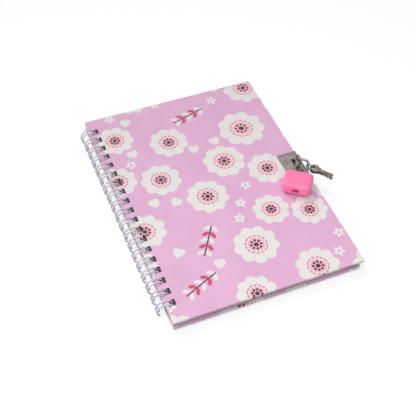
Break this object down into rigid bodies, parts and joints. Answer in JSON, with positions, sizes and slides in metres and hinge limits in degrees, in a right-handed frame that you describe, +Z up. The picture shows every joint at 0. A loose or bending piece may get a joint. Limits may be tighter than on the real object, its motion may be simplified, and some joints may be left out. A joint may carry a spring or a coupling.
{
  "type": "diary with lock",
  "caption": "Wire-bound pocket diary with stiff printed covers, a folded steel hasp on the fore-edge and a small pink padlock with keys.",
  "frame": {"origin": "on the table under the middle of the closed covers", "axes": "+Z up out of the front cover, +Y along the spine towards the head, +X from the spine to the fore-edge"},
  "size_m": [0.1448, 0.178, 0.0186],
  "materials": {
    "printed_paper": "satin print",
    "board": "raw",
    "endpaper": "matte",
    "page_paper": "matte",
    "wire": "bright",
    "hasp_steel": "satin",
    "lock_plastic": "glossy",
    "shackle_steel": "polished",
    "plug_plastic": "glossy",
    "latch_steel": "satin",
    "ring_steel": "polished",
    "key_steel": "satin"
  },
  "bodies": {
    "back": {"back_board": "board", "back_wrap": "printed_paper", "back_lining": "endpaper", "page_section_4": "page_paper", "page_section_5": "page_paper", "page_section_6": "page_paper", "binding_wire": "wire", "back_hasp_plate": "hasp_steel"},
    "front_cover": {"front_board": "board", "front_wrap": "printed_paper", "front_lining": "endpaper", "front_hasp_plate": "hasp_steel", "front_eye": "hasp_steel"},
    "title_leaf": {"title_leaf": "page_paper"},
    "page_section_1": {"page_section_1": "page_paper"},
    "page_section_2": {"page_section_2": "page_paper"},
    "page_section_3": {"page_section_3": "page_paper"},
    "shackle": {"shackle": "shackle_steel"},
    "padlock": {"padlock_case": "lock_plastic", "padlock_cap": "lock_plastic"},
    "plug": {"key_plug": "plug_plastic"},
    "latch": {"latch": "latch_steel"},
    "key_ring": {"key_ring": "ring_steel"},
    "key_1": {"key_1": "key_steel"},
    "key_2": {"key_2": "key_steel"}
  },
  "joints": [
    {"name": "cover_open", "type": "hinge", "parent": "back", "child": "front_cover", "pos_m": [-0.0638, 0, 0.00581], "axis": [0, -1, 0], "range_deg": [0, 172]},
    {"name": "title_turn", "type": "hinge", "parent": "back", "child": "title_leaf", "pos_m": [-0.0638, 0, 0.00581], "axis": [0, -1, 0], "range_deg": [0, 172]},
    {"name": "page_turn_1", "type": "hinge", "parent": "back", "child": "page_section_1", "pos_m": [-0.0638, 0, 0.00581], "axis": [0, -1, 0], "range_deg": [0, 172]},
    {"name": "page_turn_2", "type": "hinge", "parent": "back", "child": "page_section_2", "pos_m": [-0.0638, 0, 0.00581], "axis": [0, -1, 0], "range_deg": [0, 172]},
    {"name": "page_turn_3", "type": "hinge", "parent": "back", "child": "page_section_3", "pos_m": [-0.0638, 0, 0.00581], "axis": [0, -1, 0], "range_deg": [0, 172]},
    {"name": "padlock_swing", "type": "hinge", "parent": "front_cover", "child": "shackle", "pos_m": [0.0607, -0.00145, 0.01432], "axis": [-0.8018, 0.5976, 0], "range_deg": [0, 45]},
    {"name": "shackle_pull", "type": "slide", "parent": "shackle", "child": "padlock", "axis": [-0.5976, -0.8018, 0], "range_m": [0, 0.0072]},
    {"name": "latch_slide", "type": "slide", "parent": "padlock", "child": "latch", "axis": [0.8018, -0.5976, 0], "range_m": [0, 0.0012]},
    {"name": "key_turn", "type": "hinge", "parent": "padlock", "child": "plug", "pos_m": [0.05046, -0.01992, 0.01432], "axis": [0.5976, 0.8018, 0], "range_deg": [0, 90]},
    {"name": "ring_swing", "type": "hinge", "parent": "shackle", "child": "key_ring", "pos_m": [0.06371, -0.00884, 0.01432], "axis": [-0.5976, -0.8018, 0], "range_deg": [0, 60]},
    {"name": "key_1_swing", "type": "hinge", "parent": "key_ring", "child": "key_1", "pos_m": [0.06552, -0.01125, 0.01496], "axis": [-0.021, 0.0279, 0.9994], "range_deg": [-20, 20]},
    {"name": "key_2_swing", "type": "hinge", "parent": "key_ring", "child": "key_2", "pos_m": [0.06549, -0.01121, 0.01354], "axis": [0.0419, -0.0558, 0.9976], "range_deg": [-20, 20]}
  ],
  "couplings": [
    {"joint": "title_turn", "follows": "cover_open", "ratio": 0.985},
    {"joint": "page_turn_1", "follows": "cover_open", "ratio": 0.965},
    {"joint": "page_turn_2", "follows": "cover_open", "ratio": 0.945},
    {"joint": "page_turn_3", "follows": "cover_open", "ratio": 0.925},
    {"joint": "key_turn", "follows": "latch_slide", "rad_per_m": 1306.7}
  ]
}
